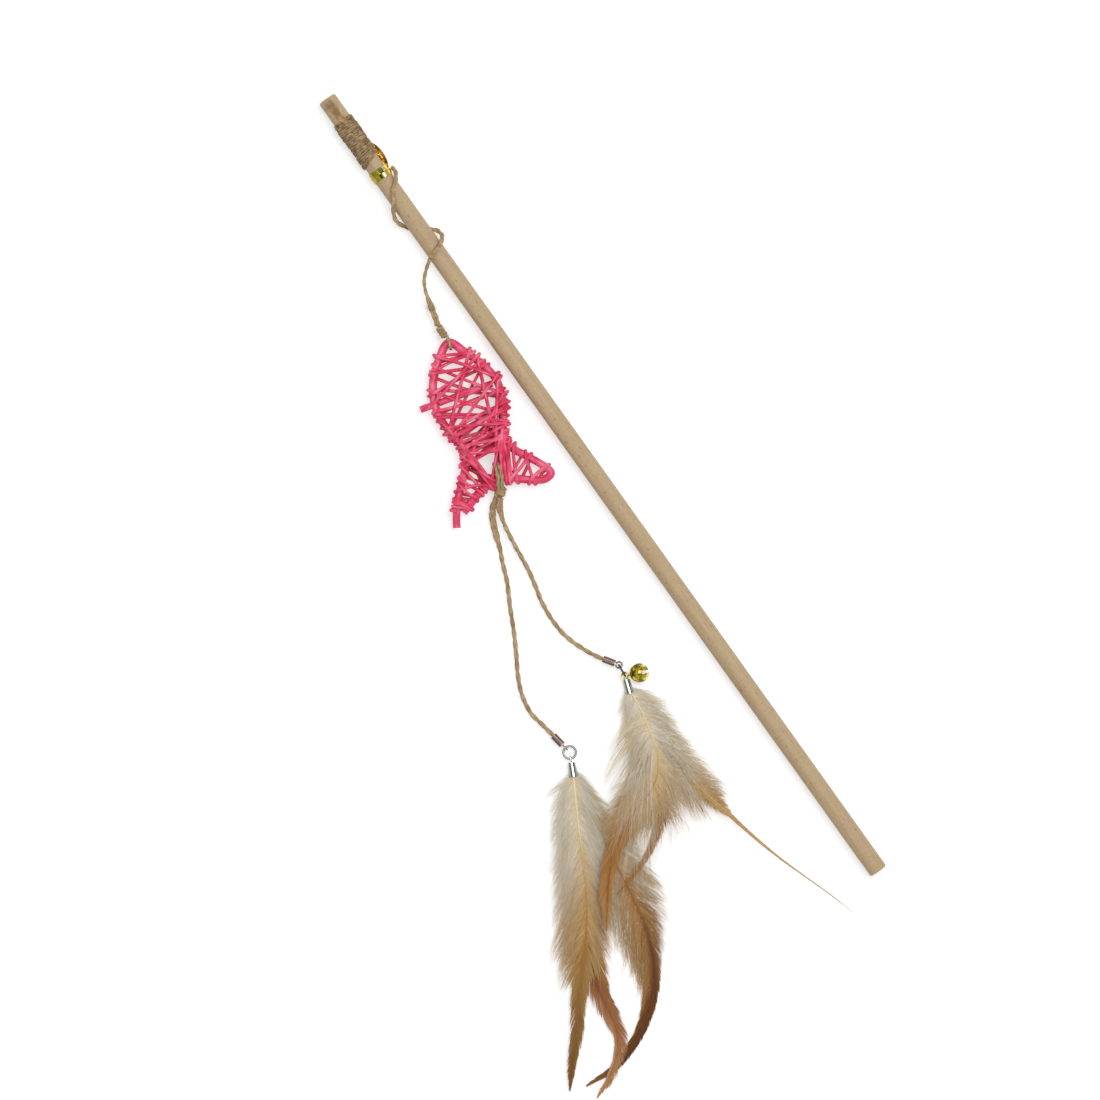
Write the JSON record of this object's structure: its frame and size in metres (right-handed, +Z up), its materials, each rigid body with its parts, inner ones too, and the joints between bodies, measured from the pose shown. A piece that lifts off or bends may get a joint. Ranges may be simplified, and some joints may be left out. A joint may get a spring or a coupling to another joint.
{
  "type": "cat teaser wand",
  "caption": "Wooden teaser wand whose twine carries a pink wicker fish, two tassels of feathers and a small jingle bell on jump rings.",
  "frame": {"origin": "centre of the butt end of the rod, on the rod's axis", "axes": "+X along the rod to the tip, +Y in the table's plane towards the lure, +Z up from the table the wand lies on"},
  "size_m": [0.4097, 0.1677, 0.0118],
  "materials": {
    "beech": "bare sanded beech with short flecks",
    "jute": "twisted jute fibre, fuzzy",
    "gold_metal": "bright gold-coloured tie",
    "pink_rattan": "dyed rattan cane, satin",
    "silver_metal": "plated wire and sheet",
    "bell_gold": "polished gold-coloured shell",
    "steel_shot": "plain steel ball",
    "feather_tan": "natural feather, tan vane with a cream quill",
    "feather_brown": "natural feather, brown vane with a tan quill"
  },
  "bodies": {
    "wand": {"rod": "beech", "tip_binding": "jute", "binding_tail": "jute", "gold_tie_band": "gold_metal", "gold_tie_tail": "gold_metal", "twine_wrap": "jute"},
    "upper_twine_piece": {"upper_twine": "jute", "twine_knot": "jute"},
    "fish": {"nose_loop": "jute", "fish_frame_cane": "pink_rattan", "fish_cross_cane": "pink_rattan", "fish_body_winding": "pink_rattan", "left_fin_winding": "pink_rattan", "right_fin_winding": "pink_rattan", "tail_hitch": "jute"},
    "left_string_piece": {"left_string": "jute", "left_cord_end": "silver_metal"},
    "left_ring_piece": {"left_ring": "silver_metal"},
    "left_feathers": {"left_feather_cap": "silver_metal", "left_feather_straight": "feather_tan", "left_feather_curled": "feather_tan", "left_feather_dark": "feather_brown"},
    "right_string_piece": {"right_string": "jute", "right_cord_end": "silver_metal"},
    "right_ring_piece": {"right_ring": "silver_metal"},
    "right_feathers": {"right_feather_cap": "silver_metal", "right_feather_brown": "feather_brown", "right_feather_bare_tip": "feather_tan", "right_feather_narrow": "feather_brown"},
    "bell": {"bell_upper_shell": "bell_gold", "bell_lower_shell": "bell_gold", "bell_loop": "bell_gold"},
    "pellet": {"bell_pellet": "steel_shot"}
  },
  "joints": [
    {"name": "twine_swing", "type": "hinge", "parent": "wand", "child": "upper_twine_piece", "pos_m": [0.3198, 0.0039, 0.002], "axis": [0, 0, 1], "range_deg": [-100, 0]},
    {"name": "fish_swing", "type": "hinge", "parent": "upper_twine_piece", "child": "fish", "pos_m": [0.295, 0.0175, -0.0001], "axis": [0, 0, 1], "range_deg": [-40, 0]},
    {"name": "left_string_swing", "type": "hinge", "parent": "fish", "child": "left_string_piece", "pos_m": [0.2216, 0.0392, -0.0014], "axis": [0, 0, 1], "range_deg": [-30, 5]},
    {"name": "right_string_swing", "type": "hinge", "parent": "fish", "child": "right_string_piece", "pos_m": [0.2205, 0.0382, 0.001], "axis": [0, 0, 1], "range_deg": [-10, 1.5]},
    {"name": "left_ring_turn", "type": "hinge", "parent": "left_string_piece", "child": "left_ring_piece", "pos_m": [0.1189, 0.0773, -0.0036], "axis": [0, 0, 1], "range_deg": [-25, 5]},
    {"name": "left_feathers_swing", "type": "hinge", "parent": "left_ring_piece", "child": "left_feathers", "pos_m": [0.11628, 0.0769, -0.0036], "axis": [0, 0, 1], "range_deg": [-30, 5]},
    {"name": "right_ring_turn", "type": "hinge", "parent": "right_string_piece", "child": "right_ring_piece", "pos_m": [0.13423, 0.03849, -0.00265], "axis": [0, 0, 1], "range_deg": [-25, 1.5]},
    {"name": "right_feathers_swing", "type": "hinge", "parent": "right_ring_piece", "child": "right_feathers", "pos_m": [0.12897, 0.03912, -0.00265], "axis": [0, 0, 1], "range_deg": [-10, 1.5]},
    {"name": "bell_swing", "type": "hinge", "parent": "right_ring_piece", "child": "bell", "pos_m": [0.12897, 0.03912, -0.00265], "axis": [0, 0, 1], "range_deg": [-3, 42]},
    {"name": "pellet_rattle", "type": "slide", "parent": "bell", "child": "pellet", "axis": [0, 0, 1], "range_m": [0, 0.0046]}
  ]
}
